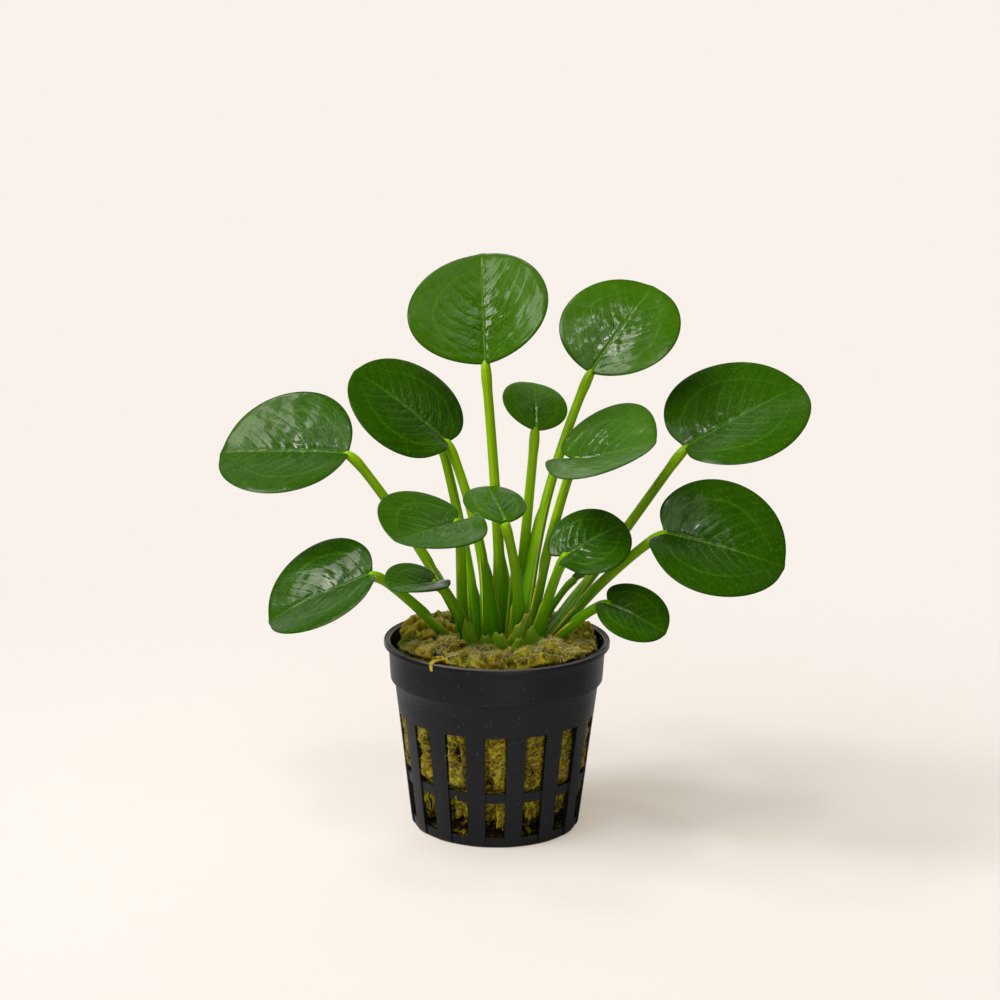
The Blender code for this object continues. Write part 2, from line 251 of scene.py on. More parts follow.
# Columns over one slot and the bar beside it, in degrees from the middle of the slot
columns = np.array([-6.4, -6.2, -3.1, 0, 3.1, 6.2, 6.4, 6.6, 8.4, 10.2, 12, 13.8, 15.6, 17.4])
recessed = np.tile(np.abs(columns) < slot_half - 0.1, slots)
open_column = np.tile(columns < slot_half, slots)
angle = np.radians(slot_middles[:, None] + columns).ravel()
outer_r, outer_z, inner_r, inner_z = pot_rows.T[:, :, None] * mm
side = (outer_z > 0.6 * mm) & (outer_z < 14.5 * mm)
foot = (outer_z > 0.1 * mm) & (outer_z <= 0.6 * mm)
proud = np.where(side, np.where(recessed, -0.3, 0.1), np.where(foot & recessed, -0.12, 0.05))
outer_r = outer_r + proud * (outer_r > 15 * mm) * mm
outer = about_axis(outer_r, outer_z, angle)
inner = about_axis(inner_r, inner_z, angle)
solid = np.ones((len(pot_rows) - 1, len(angle)), bool)
floor_rows, lower_rows, upper_rows = (2, 4), (9, 12), (14, 18)
for first, last in (floor_rows, lower_rows, upper_rows):
    solid[first:last, open_column] = False
pot_points, pot_faces = cut_shell(outer, inner, solid)
# Painted highlight: the edges and ridges of the lip are painted pale, standing in for light catching
# them
painted_lip_highlight = np.zeros((2, len(pot_rows), len(angle)))
painted_lip_highlight[0, -12:] = np.array([0.5, 1, 1, 0, 0, 1, 1, 0, 0, 1, 1, 0])[:, None]
pot_mesh = bpy.data.meshes.new("net_pot_moulding")
pot_mesh.from_pydata(pot_points, [], pot_faces)
set_attribute(pot_mesh, "painted_lip_highlight", painted_lip_highlight)
bm = bmesh.new()
bm.from_mesh(pot_mesh)
bmesh.ops.remove_doubles(bm, verts=bm.verts, dist=1e-7)
bmesh.ops.recalc_face_normals(bm, faces=bm.faces)
bm.to_mesh(pot_mesh)
bm.free()
pot_mesh.shade_smooth()


def attribute(tree, name):
    """A number stored on the mesh."""
    return add_node(tree, "Attribute", attribute_name=name).outputs["Fac"]


def noise(tree, place, scale, detail, distortion=0.0):
    """Soft clouds from 0 to 1."""
    return add_node(tree, "TexNoise",
                    [("Vector", place), ("Scale", scale), ("Detail", detail),
                     ("Distortion", distortion)]).outputs["Fac"]


def maths(tree, operation, *values):
    """One step of arithmetic on numbers or sockets."""
    return add_node(tree, "Math", enumerate(values), operation=operation).outputs[0]


def mix_colour(tree, factor, first, second):
    """The first colour turned into the second by the factor."""
    first, second = (colour if isinstance(colour, bpy.types.NodeSocket) else (*colour, 1)
                     for colour in (first, second))
    return add_node(tree, "Mix", [(0, factor), (6, first), (7, second)],
                    data_type="RGBA").outputs[2]


def add_bump(tree, height, strength, distance, *more, **settings):
    """A normal tilted by a height."""
    return add_node(tree, "Bump", [("Height", height), ("Strength", strength),
                                             ("Distance", distance), *more], **settings).outputs[0]


# Specks: round dots of chance sizes, one in some of the cells of a Voronoi pattern
specks = bpy.data.node_groups.new("specks", "ShaderNodeTree")
for socket, way, kind in (("Vector", "INPUT", "Vector"), ("Scale", "INPUT", "Float"),
                          ("Size", "INPUT", "Float"), ("Mask", "OUTPUT", "Float")):
    specks.interface.new_socket(socket, in_out=way, socket_type="NodeSocket" + kind)
given = specks.nodes.new("NodeGroupInput").outputs
cells = add_node(specks, "TexVoronoi",
                 [("Vector", given["Vector"]), ("Scale", given["Scale"])]).outputs
chance = add_node(specks, "SeparateColor", [(0, cells["Color"])]).outputs[0]
dot = maths(specks, "MULTIPLY", map_range(specks, chance, 0.55, 1.0), given["Size"])
inside = maths(specks, "LESS_THAN", cells["Distance"], dot)
connect(specks, specks.nodes.new("NodeGroupOutput"), [("Mask", inside)])


def add_specks(tree, place, scale, size):
    """The specks placed in a material."""
    return add_node(tree, "Group", [("Vector", place), ("Scale", scale), ("Size", size)],
                    node_tree=specks).outputs["Mask"]


pot_plastic, tree, shader = new_material("charcoal_plastic", [("Specular IOR Level", 0.36)])
place = place_on(tree, "Object")
patches = noise(tree, place, 90.0, 4.0)
plain = mix_colour(tree, patches, (0.004, 0.0042, 0.0045), (0.009, 0.0092, 0.0095))
dusty = mix_colour(tree, add_specks(tree, place, 900.0, 0.22), plain, (0.055, 0.052, 0.046))
# Painted highlight: pale grey lines on the lip's edges and ridges over the dusty charcoal
colour = mix_colour(tree, attribute(tree, "painted_lip_highlight"), dusty, (0.2, 0.19, 0.17))
grain = add_bump(tree, noise(tree, place, 1800.0, 3.0), 0.25, 0.0001)
dents = add_bump(tree, add_specks(tree, place, 380.0, 0.15), 0.9, 0.00025, ("Normal", grain),
                 invert=True)
connect(tree, shader, [("Base Color", colour), ("Normal", dents),
                       ("Roughness", map_range(tree, patches, 0.0, 1.0, 0.3, 0.46))])

pot = add_piece(pot_mesh, pot_plastic, "pot_plastic", "net_pot")
edge = pot.modifiers.new("Edges", "BEVEL")
edge.width = 0.12 * mm
edge.segments = 2
edge.limit_method = "ANGLE"
edge.angle_limit = radians(40)
edge.harden_normals = True


# ------------------------------
# Wool.  The pot is packed with olive-yellow mineral wool, damp and matted: a body that shows through
# the slots, pillows folded round the crown, upright lobes at both sides, a wisp over the lip, torn
# flaps behind the lower slots, and loose fibres all over.
# ------------------------------
dice = np.random.default_rng(5)
lattice = dice.uniform(-1, 1, (32, 32, 32))
skew = np.array(Euler((0.6, 0.9, 0.4)).to_matrix())


def cloud(points, size):
    """Smooth bumps from -1 to 1: random values at the corners of turned cubes of the given size,
    blended inside each cube with the weight 3t^2 - 2t^3 along each axis."""
    scaled = points @ skew / size
    cell = np.floor(scaled).astype(int)
    t = scaled - cell
    t = t * t * (3 - 2 * t)
    total = np.zeros(points.shape[:-1])
    for corner in np.ndindex(2, 2, 2):
        weight = np.prod(np.where(corner, t, 1 - t), axis=-1)
        total += weight * lattice[tuple(np.moveaxis((cell + corner) % len(lattice), -1, 0))]
    return total


def folds(points, size):
    """Rounded swellings between sharp creases, 0 to 1: one less the size of the smooth bumps."""
    return 1 - np.abs(cloud(points, size))


def curls(points, size):
    """Thin wavy walls, 0 to 1: a bell curve over the zero lines of the smooth bumps, read at places
    that are themselves pushed about by wider bumps."""
    push = np.stack([cloud(points + apart, 1.7 * size) for apart in (0.11, 0.23, 0.37)], -1)
    return np.exp(-(cloud(points + 0.8 * size * push, size) / 0.19) ** 2)


def step(value, start, end):
    """0 before start, 1 after end, and a smooth 3t^2 - 2t^3 between them."""
    way = np.clip((value - start) / (end - start), 0, 1)
    return way * way * (3 - 2 * way)


def normals_of(grid):
    """Unit normals of grids (..., row, column, xyz): the cross product of the two grid directions."""
    down = np.gradient(grid, axis=-3)
    across = np.gradient(grid, axis=-2)
    cross = np.cross(across, down)
    return cross / np.maximum(np.linalg.norm(cross, axis=-1, keepdims=True), 1e-12)


def tube_mesh(name, rings):
    """Closed tubes from an array (tube, ring, point, xyz): quads from ring to ring and one face
    over each end.  The six-fold volume, a sum of p0 . (p1 x p2), tells which way they face."""
    tubes, count, around = rings.shape[:3]
    here = np.arange(tubes * count * around).reshape(tubes, count, around)
    beside = np.roll(here, -1, axis=2)
    quads = np.stack([here[:, :-1], beside[:, :-1], beside[:, 1:], here[:, 1:]], -1).reshape(-1, 4)
    ends = np.concatenate([here[:, 0, ::-1], here[:, -1]])
    points = rings.reshape(-1, 3)
    corner = (points - points.mean(0))[quads]
    volume = (corner[:, 0] * np.cross(corner[:, 1] - corner[:, 3], corner[:, 2])).sum()
    if volume < 0:
        quads, ends = quads[:, ::-1], ends[:, ::-1]
    mesh = bpy.data.meshes.new(name)
    mesh.from_pydata(points, [], quads.tolist() + ends.tolist())
    mesh.shade_smooth()
    return mesh

def circle(count):
    """Angles evenly spaced all round."""
    return np.linspace(0, 2 * pi, count, endpoint=False)


def keep_in_pot(grid, widest, over_lip):
    """Draws points in to the widest radius (mm), which grows a little above the lip."""
    limit = (widest + over_lip * step(grid[..., 2], 46.4 * mm, 48.2 * mm)) * mm
    grid[..., :2] *= np.minimum(1, limit / np.hypot(grid[..., 0], grid[..., 1]))[..., None]
# Body: a profile carried round the axis, with more rows and columns where slots show it.  In each
# slot it bulges past the bars round one small torn gap; low down it is torn into hollows.
body_line = np.array([(0.3, 46.2), (6, 46.2), (10, 46.6), (14, 47.2), (18, 47.0), (21.5, 46.3),
                      (24.2, 44.5), (24.6, 41.5), (24.3, 38.5), (23.6, 37), (23.0, 29), (22.2, 21),
                      (21.6, 15.6), (20.4, 13.6), (20.9, 11.6), (20.5, 8), (19.8, 4), (19.6, 2.0),
                      (19.1, 1.4), (16, 1.3), (0.3, 1.3)]) * mm
steps = np.concatenate([[0], np.cumsum(np.hypot(*np.diff(body_line, axis=0).T))])
even = np.linspace(0, steps[-1], 2000)
fine = 1 + 2.4 * (np.interp(even, steps, body_line[:, 0]) > 18.5 * mm) * (
    np.interp(even, steps, body_line[:, 1]) < 31 * mm)
along = np.interp(np.linspace(0, 1, 250), np.cumsum(fine) / fine.sum(), even)
radius = np.interp(along, steps, body_line[:, 0])[:, None]
height = np.interp(along, steps, body_line[:, 1])[:, None]
slot_turn = np.concatenate([np.linspace(-7.2, 7.2, 20), np.linspace(9.1, 14.9, 4)])
slot_middle = np.repeat(slot_middles, len(slot_turn))
off_middle = np.tile(slot_turn, slots)
around = np.radians(slot_middle + off_middle)
window = ((1 - step(np.abs(off_middle + 1.2 * np.sin(slot_middle)), 4.2, 6.0))
          * step(height, 14.8 * mm, 16.6 * mm) * (1 - step(height, 30 * mm, 32 * mm)))
body = about_axis(radius, height, around)
out = about_axis(1, 0, around)
low = step(height, 11.5 * mm, 7 * mm) * step(height, 2.6 * mm, 4.2 * mm)
ragged = folds(body * (1, 1, 0.4), 3.0 * mm) ** 3
body_curl = 0.12 + 0.55 * curls(body, 1.1 * mm) + 0.5 * curls(body + 0.7, 0.62 * mm)
places = dice.uniform(-1, 1, (slots, 3))
gap_turn, gap_height, gap_deep = np.repeat(places, len(slot_turn), axis=0).T
gap = np.exp(-((off_middle - 5.5 * gap_turn) / 2.2) ** 2
             - ((height - (22 + 5.5 * gap_height) * mm) / (2.4 * mm)) ** 2) * (0.7 + 0.3 * gap_deep)
swell = (1.1 * folds(body, 3.4 * mm) + 0.5 * body_curl + 0.25 * curls(body + 0.5, 0.65 * mm) - 1.35
         + 1.2 * window - low * (1 - ragged) * 6.5 - 2.6 * gap) * mm
top = np.clip((height - 44 * mm) / (3 * mm), 0, 1)[..., None]
push = out * (1 - top) + np.array((0, 0, 1)) * top
body = body + push * swell[..., None] * np.clip(radius / (5 * mm), 0, 1)[..., None]
reach = np.hypot(body[..., 0], body[..., 1])
limit = foot_radius - wall - 0.25 * mm + wall_lean * body[..., 2] + 1.0 * mm * window
shrink = np.minimum(1, np.where(body[..., 2] < 45 * mm, limit / np.maximum(reach, 1e-6), 1))
body[..., :2] *= shrink[..., None]
body_mesh = tube_mesh("wool_body", body[None])
# Painted shade: torn hollows, the lowest band and the torn gaps are taken off the curl number, which
# darkens them in the wool's colour
painted_hollow_shade = low * (1 - ragged) + step(height, 6.5 * mm, 3 * mm) * (0.5 + 0.5 * (body_curl < 0.6))
set_attribute(body_mesh, "curl", body_curl - 0.6 * painted_hollow_shade - 0.7 * gap - 0.08)
body_normal = normals_of(body)

# Pillows: centre (mm), half sizes along, across and up (mm), and the heading of the long side.
pillow_list = [
    ((-15.6, -17.2, 46.4), (5.6, 4.0, 3.4), 15), ((-8.6, -19.6, 46.0), (5.4, 3.8, 3.2), 0),
    ((-1.8, -20.0, 46.2), (5.0, 3.8, 3.4), 0), ((9.9, -19.4, 46.5), (6.1, 4.2, 3.7), -10),
    ((17.6, -15.2, 45.8), (5.0, 3.8, 3.3), -35), ((-4.5, -14.0, 46.6), (5.4, 3.6, 2.6), 5),
    ((6.5, -14.2, 46.4), (5.2, 3.2, 2.6), -8), ((13.5, -11.8, 47.6), (4.6, 3.4, 2.7), -25),
    ((-12.0, -12.4, 47.6), (5.0, 3.4, 2.8), 25), ((-19.8, -11.5, 45.4), (5.2, 3.8, 3.4), 50),
    ((-21.0, -4.5, 45.4), (5.6, 3.6, 3.4), 75), ((-16.0, -5.2, 47.0), (5.0, 3.4, 2.8), 60),
    ((-20.6, 3.5, 45.6), (5.4, 3.6, 3.5), 95), ((-14.5, 2.5, 47.6), (5.2, 3.4, 3.0), 80),
    ((-17.5, 11.0, 45.8), (5.6, 3.8, 3.5), 120), ((-11.5, 9.0, 47.6), (5.2, 3.4, 3.0), 125),
    ((-11.0, 17.6, 45.8), (5.6, 3.8, 3.3), 150), ((-2.5, 20.0, 47.2), (5.6, 3.6, 3.2), 175),
    ((-3.0, 13.5, 47.6), (5.0, 3.4, 2.8), 175), ((7.0, 19.2, 47.4), (5.4, 3.6, 3.2), 200),
    ((6.5, 12.5, 47.8), (4.8, 3.2, 2.8), 195), ((15.0, 14.2, 46.6), (5.6, 3.8, 3.4), 225),
    ((12.8, 8.0, 48.4), (4.8, 3.4, 2.8), 230), ((20.0, 6.5, 46.0), (5.4, 3.6, 3.6), 255),
    ((21.4, -1.5, 45.6), (5.4, 3.4, 3.6), 275), ((16.8, 1.0, 47.2), (4.8, 3.4, 3.0), 270),
    ((20.8, -8.6, 45.4), (5.0, 3.6, 3.5), 300), ((16.8, -6.4, 47.0), (4.4, 3.2, 3.0), 300)]


def pillows(name, chosen, rows, columns):
    """Closed squarish balls from the list, swollen by folds and set with curled walls.  At the
    sides of the pot the walls run outwards, as pleats."""
    centre = np.array([p[0] for p in chosen])[:, None, None] * mm
    half = np.array([p[1] for p in chosen])[:, None, None] * mm
    heading = np.radians([p[2] for p in chosen])[:, None, None]
    latitude = np.linspace(-1.54, 1.54, rows)[:, None]
    ball = about_axis(np.cos(latitude), np.sin(latitude), circle(columns))
    unit = (np.sign(ball) * np.abs(ball) ** 0.85)[None] * half
    grid = about_axis(unit[..., 0], unit[..., 2], heading, unit[..., 1]) + centre
    reach = np.hypot(grid[..., 0], grid[..., 1])
    by_turn = np.stack([np.arctan2(grid[..., 1], -grid[..., 0]) * 20 * mm, 0.3 * grid[..., 2],
                        0.25 * reach], -1)
    pleat = step(np.abs(centre[..., 0]), 12 * mm, 15 * mm)
    wave = (1 - pleat) * curls(grid, 1.7 * mm) + pleat * curls(by_turn, 1.5 * mm)
    lump = folds(grid, 3.2 * mm)
    grow = (1.9 * lump + 0.5 * wave + 0.25 * curls(grid + 0.5, 0.75 * mm) - 1.75) * mm
    away = grid - centre
    grid = grid + away / np.linalg.norm(away, axis=-1, keepdims=True) * grow[..., None]
    keep_in_pot(grid, 24.6, 1.6)
    mesh = tube_mesh(name, grid)
    # The curl number also holds painted shade in the creases between the lumps and painted light on
    # their tops
    set_attribute(mesh, "curl", 0.9 * wave + 1.3 * (lump - 0.62))
    return mesh, grid.reshape(-1, 3), normals_of(grid).reshape(-1, 3)


front_mesh, front_spots, front_normal = pillows(
    "wool_front_pillows", [p for p in pillow_list if p[0][1] < -8], 64, 112)
back_mesh, back_spots, back_normal = pillows(
    "wool_back_pillows", [p for p in pillow_list if p[0][1] > -8], 42, 76)


def fibres(name, roots, outward, count, length, thick):
    """Loose fibres as thin three-sided tubes.  Each starts at a random root, runs along the
    surface in a random direction, bends sideways with the square of the way, and rises and falls
    back along half a sine wave."""
    pick = dice.integers(0, len(roots), count)
    root, normal = roots[pick][:, None], outward[pick][:, None]
    ahead = np.cross(normal, dice.normal(size=(count, 1, 3)))
    ahead /= np.linalg.norm(ahead, axis=-1, keepdims=True)
    sideways = np.cross(normal, ahead)
    t = np.linspace(0, 1, 7)[None, :, None]
    long = dice.uniform(0.4, 1, (count, 1, 1)) * length
    bend = dice.uniform(-1.3, 1.3, (count, 1, 1))
    rise = dice.uniform(0, 0.22, (count, 1, 1))
    line = root + long * (ahead * t + sideways * bend * t ** 2
                          + normal * (rise * np.sin(pi * t) + 0.03))
    turn = circle(3)[:, None]
    slim = thick * dice.uniform(0.5, 1, (count, 1, 1, 1)) * (1 - 0.75 * t[..., None])
    rings = line[:, :, None] + slim * (normal[:, :, None] * np.cos(turn)
                                       + sideways[:, :, None] * np.sin(turn))
    mesh = tube_mesh(name, rings)
    set_attribute(mesh, "tone", np.repeat(dice.uniform(0.2, 1, count), rings[0, ..., 0].size))
    return mesh


shows, spots = body_normal.reshape(-1, 3), body.reshape(-1, 3)
on_side = np.broadcast_to(window > 0.3, body.shape[:2]).ravel() | (
    (spots[:, 2] < 12.5 * mm) & (spots[:, 2] > 5 * mm))
side_fibres = fibres("wool_side_fibres", spots[on_side], shows[on_side], 4700, 1.4 * mm, 0.06 * mm)
spots = np.concatenate([front_spots, back_spots[::3]])
shows = np.concatenate([front_normal, back_normal[::3]])
on_top = (shows[:, 2] > 0.1) & (spots[:, 2] > 46 * mm)
top_fibres = fibres("wool_top_fibres", spots[on_top], shows[on_top], 3900, 1.6 * mm, 0.09 * mm)

# Lobes: thick upright fans of matted wool, one behind the other at both sides of the pot, with
# radial ribs and a pale upper edge.  Middle of the foot and half width (mm), height (mm), heading
# (deg), and how far the top leans back (mm)
lobe_list = np.array([
    (-11.5, 15.5, 44.8, 6.5, 4.2, 28, 1.2), (-16.5, 9.0, 45.0, 6.4, 6.0, 16, 1.6),
    (-18.6, 3.6, 45.0, 5.2, 6.6, 10, 1.8), (-15.8, -0.6, 45.4, 6.8, 6.0, 4, 1.8),
    (-20.0, -5.2, 44.8, 4.0, 5.6, -12, 1.6), (-15.0, -7.4, 45.2, 6.0, 5.4, -6, 1.8),
    (-17.5, -12.0, 44.8, 5.0, 4.8, -30, 1.4), (-13.3, -21.4, 45.8, 2.7, 2.8, -30, 0.4),
    (12.0, 15.0, 44.8, 6.5, 5.2, -28, 1.2), (17.0, 8.0, 44.8, 5.8, 5.8, -16, 1.6),
    (20.2, 3.0, 44.8, 4.0, 6.0, -8, 1.6), (16.2, 0.4, 45.2, 6.2, 5.4, -4, 1.8),
    (20.4, -4.4, 44.8, 3.8, 5.4, 10, 1.6), (16.0, -6.8, 45.0, 5.4, 5.0, 8, 1.8),
    (18.0, -12.0, 44.8, 4.8, 4.6, 32, 1.4)])
foot_x, foot_y, foot_z, half_wide, tall, heading, lean = lobe_list.T[:, :, None, None] * mm
heading = np.radians(heading / mm)
s = np.linspace(-1, 1, 90)[None, :, None]
phi = circle(44)
up = 0.5 + 0.5 * np.sin(phi)
outline = np.clip(1 - np.abs(s) ** 3.6, 0.003, 1) ** 0.5
across = half_wide * s * (0.85 + 0.2 * up)
phase = foot_x * 4000 + foot_y * 900
rib = np.sin(half_wide * s / (0.24 * mm)) * up
through = (0.7 * np.cos(phi) * (1 - 0.4 * up) + 0.14 * rib) * mm + lean * up ** 1.4
through = through + up ** 1.5 * (0.8 * np.sin(2.7 * s + phase) + 0.25 * np.sin(7 * s + phase)) * mm
z = foot_z + tall * outline * up * (1 + 0.06 * np.sin(9 * s + phase) * up)
foot = np.stack([foot_x, foot_y, 0 * foot_x], -1)
lobes = about_axis(across, z, heading, through) + foot
lobes = lobes + 0.25 * mm * cloud(lobes, 0.9 * mm)[..., None]
keep_in_pot(lobes, 24.7, 1.5)
lobe_mesh = tube_mesh("wool_lobes", lobes)
# The curl number is low at the foot of each lobe, as painted shade among the lobes, and highest along
# the pale upper edge
set_attribute(lobe_mesh, "curl", 0.05 + 0.4 * up + 1.2 * up ** 9 + 0.28 * rib + 0 * tall)
set_attribute(lobe_mesh, "sheet", np.ones(len(lobe_mesh.vertices)))

# Wisp: a pale torn curl that hangs over the lip at the front left.  It runs outwards while its
# height follows half a sine wave less the fourth power of the way, and it narrows to its tip.
s = np.linspace(0, 1, 30)[:, None]
phi = circle(14)
turn = radians(-122.5) + 0.03 * np.sin(6 * s)
aside = 1.0 * (1 - 0.6 * s ** 2) * np.cos(phi) * mm
through = 0.22 * np.sin(phi) * mm
far = (24.0 + 4.5 * s ** 0.8) * mm + through * s
z = (47.1 + 1.2 * np.sin(pi * s) - 1.3 * s ** 4) * mm + through * (1 - s)
wisp_mesh = tube_mesh("wool_wisp", about_axis(far, z, turn, aside)[None])
set_attribute(wisp_mesh, "curl", 0.95 + 0.5 * np.cos(phi) * np.ones_like(s))

# Flaps: three torn strips behind each lower slot.  They hang from the ring between the slots, and
# each has its own place, length, lean, depth behind the wall and width.
flap_top = 14.2 * mm
s = np.linspace(0, 1, 32)[None, :, None]
phi = circle(24)
count = 3 * slots
turn = np.radians(np.repeat(slot_middles, 3))[:, None, None]
beside = (np.tile([-1.3, 0.1, 1.4], slots) + dice.uniform(-0.5, 0.5, count))[:, None, None] * mm
bottom = dice.uniform(5.0, 10.5, count)[:, None, None] * mm
lean = dice.uniform(-0.8, 0.8, count)[:, None, None] * mm
inset = dice.uniform(0.9, 2.2, count)[:, None, None] * mm
half_wide = dice.uniform(0.7, 1.9, count)[:, None, None] * mm
spread = half_wide * (0.5 + 0.7 * s) * np.sqrt(np.clip((1 - s) / 0.15, 0.01, 1))
across = beside + lean * s + spread * np.cos(phi) + 0.3 * mm * np.sin(6 * s + 30 * turn)
ragged = 1 + 0.1 * np.sin(3.1 * across / mm + 20 * turn) + 0.07 * np.sin(7.7 * across / mm + 9 * turn)
z = flap_top + (bottom - flap_top) * s * ragged
fold_out = 0.3 * mm * np.sin(across / (0.5 * mm) + 5 * turn) + 0.6 * mm * np.sin(pi * s)
far = foot_radius - 0.3 * mm + wall_lean * z - inset + fold_out + 0.13 * mm * np.sin(phi)
flaps = about_axis(far, z, turn, across)
flaps = flaps + 0.35 * mm * cloud(flaps, 1.2 * mm)[..., None]
flap_mesh = tube_mesh("wool_flaps", flaps)
# The curl number falls towards the lower end of each flap, as painted shade deep in the lower slots
flap_curl = 0.2 + 0.6 * np.abs(np.cos(phi)) ** 5 + 0.7 * curls(flaps, 0.9 * mm) - 0.4 * s
set_attribute(flap_mesh, "curl", flap_curl)

wool, tree, shader = new_material("damp_wool", [
    ("Specular IOR Level", 0.35), ("Specular Tint", (1.0, 0.85, 0.3, 1))])
place = place_on(tree, "Object")
curl = attribute(tree, "curl")
hue = map_range(tree, noise(tree, place, 130.0, 3.0), 0.35, 0.65)
colour = mix_colour(tree, hue, (0.8, 0.5, 0.003), (0.56, 0.52, 0.007))
# Painted light: the curl number runs low in creases, torn hollows and gaps and high on the tops of curls
# and lumps, and where it is low the colour is darkened towards a near-black brown as painted shade
painted_light_level = map_range(tree, curl, -0.12, 1.08)
colour = mix_colour(tree, painted_light_level, (0.02, 0.013, 0.0003), colour)
line = maths(tree, "SUBTRACT", noise(tree, place, 1350.0, 3.0, 2.5), 0.5)
thread = map_range(tree, maths(tree, "ABSOLUTE", line), 0.05, 0.0)
shown = maths(tree, "MULTIPLY_ADD", attribute(tree, "sheet"), -0.8, 1.0)
# Painted glints: the pale threads are partly the fibres' own pale colour and partly glints, kept to the
# lit tops and mostly left off the lobes
glint = maths(tree, "MULTIPLY", maths(tree, "MULTIPLY", shown, thread), painted_light_level)
colour = mix_colour(tree, glint, colour, (1.0, 0.92, 0.15))
# Paler still where the curl number is highest: a painted highlight on the crests of the pillows, which
# also turns the lobes' upper edges and one edge of the wisp pale
frill = map_range(tree, curl, 0.95, 1.5, 0.0, 0.8)
colour = mix_colour(tree, frill, colour, (0.9, 0.8, 0.2))
connect(tree, shader, [("Base Color", colour),
                       ("Roughness", map_range(tree, thread, 0.0, 1.0, 0.6, 0.22)),
                       ("Normal", add_bump(tree, thread, 0.8, 0.0003))])

fibre, tree, shader = new_material("wool_fibre", [("Roughness", 0.25)])
colour = mix_colour(tree, attribute(tree, "tone"), (0.5, 0.42, 0.01), (0.98, 0.93, 0.5))
connect(tree, shader, [("Base Color", colour)])

for mesh in (body_mesh, front_mesh, back_mesh, lobe_mesh, wisp_mesh, flap_mesh):
    add_piece(mesh, wool, "wool", "wool_plug")
for mesh in (side_fibres, top_fibres):
    add_piece(mesh, fibre, "wool", "wool_plug")


# ------------------------------
# Blades.  Sixteen thick, waxy, round leaf blades, each folded a little along its midrib, with a
# sunken midrib, arching side veins, a rolled rim and a paler underside.
# ------------------------------
# leaf: length and width (mm), share of length behind the joint, wider to the base, notch (rad),
# heading, rise and roll (deg), fold, curl and droop (deg), and tone from deep to bright green.
# The tone is partly the leaf's own green and partly painted light: leaves that face away from
# the key light are given deeper tones, and leaves lit from behind brighter ones
blades = {
    "leaf_01": ((27.5, 38.5), 0.0, 0.04, 0.38, (95, 68, -26), (23, 15, 3), 0.5),
    "leaf_02": ((29, 32), 0.0, 0.03, 0.36, (38, 47, 25), (18, 20, 12), 0.5),
    "leaf_03": ((36, 39), 0.06, 0.06, 0.24, (17, 26, 26), (24, 28, 8), 0.18),
    "leaf_04": ((33, 37.5), 0.11, 0.03, 0.28, (-13, -10, 35), (29, 28, 16), 0.1),
    "leaf_05": ((18.5, 19), 0.15, -0.02, 0.32, (-22, -18, 24), (20, 23, 17), 0.2),
    "leaf_06": ((18.5, 17), 0.0, 0.0, 0.36, (90, 39, 13), (14, 20, 20), 0.8),
    "leaf_07": ((27.5, 37), 0.24, -0.10, 0.34, (-21, 15, 20), (20, 10, 2), 0.45),
    "leaf_08": ((31, 30.5), 0.06, 0.04, 0.28, (175, 43, -34), (17, 28, 20), 0.15),
    "leaf_09": ((23, 30.5), 0.15, -0.03, 0.23, (222, -7, -14), (17, 6, 2), 0.3),
    "leaf_10": ((17.5, 15.5), 0.0, -0.10, 0.34, (107, 25, 0), (13, 30, 15), 0.4),
    "leaf_11": ((34, 37), 0.04, 0.06, 0.30, (170, -1, -34), (25, 20, 10), 0.17),
    "leaf_12": ((29.5, 33), 0.07, 0.08, 0.30, (184, -21, -23), (30, 30, 18), 0.08),
    "leaf_13": ((15.5, 16.5), 0.13, 0.02, 0.27, (219, 4, -12), (24, 15, 12), 0.25),
    "leaf_14": ((20, 22), 0.16, -0.08, 0.2, (14, 32, 29), (8, 18, 22), 0.08),
    "leaf_15": ((9, 9), 0.0, 0.0, 0.35, (15, 12, -25), (35, 30, 5), 0.5),
    "leaf_16": ((17, 15), 0.05, 0.0, 0.34, (105, 8, 0), (14, 20, 15), 0.3)}
# leaf: where round the rim its ear is (rad from the notch), how wide (rad) and how high (mm)
ears = {"leaf_03": (-0.5, 0.3, 0.8), "leaf_04": (0.6, 0.4, 1.2), "leaf_05": (0.6, 0.4, 0.8),
        "leaf_07": (0.5, 0.42, 2.6), "leaf_08": (-0.35, 0.3, 2.0), "leaf_09": (-0.6, 0.4, 1.6),
        "leaf_11": (-0.4, 0.3, 0.7), "leaf_12": (-0.5, 0.3, 0.8), "leaf_13": (-0.5, 0.35, 0.8),
        "leaf_14": (0.5, 0.3, 2.0)}
half_thick = 0.27 * mm

lines = np.linspace(-1, 1, 89)
lines = np.sort(np.concatenate([lines, [-0.992, -0.007, 0.007, 0.992]]))
p, q = np.meshgrid(lines, lines)
disc_x, disc_y = p * np.sqrt(1 - q ** 2 / 2), q * np.sqrt(1 - p ** 2 / 2)
disc_reach, disc_angle = np.hypot(disc_x, disc_y), np.arctan2(disc_y, disc_x)


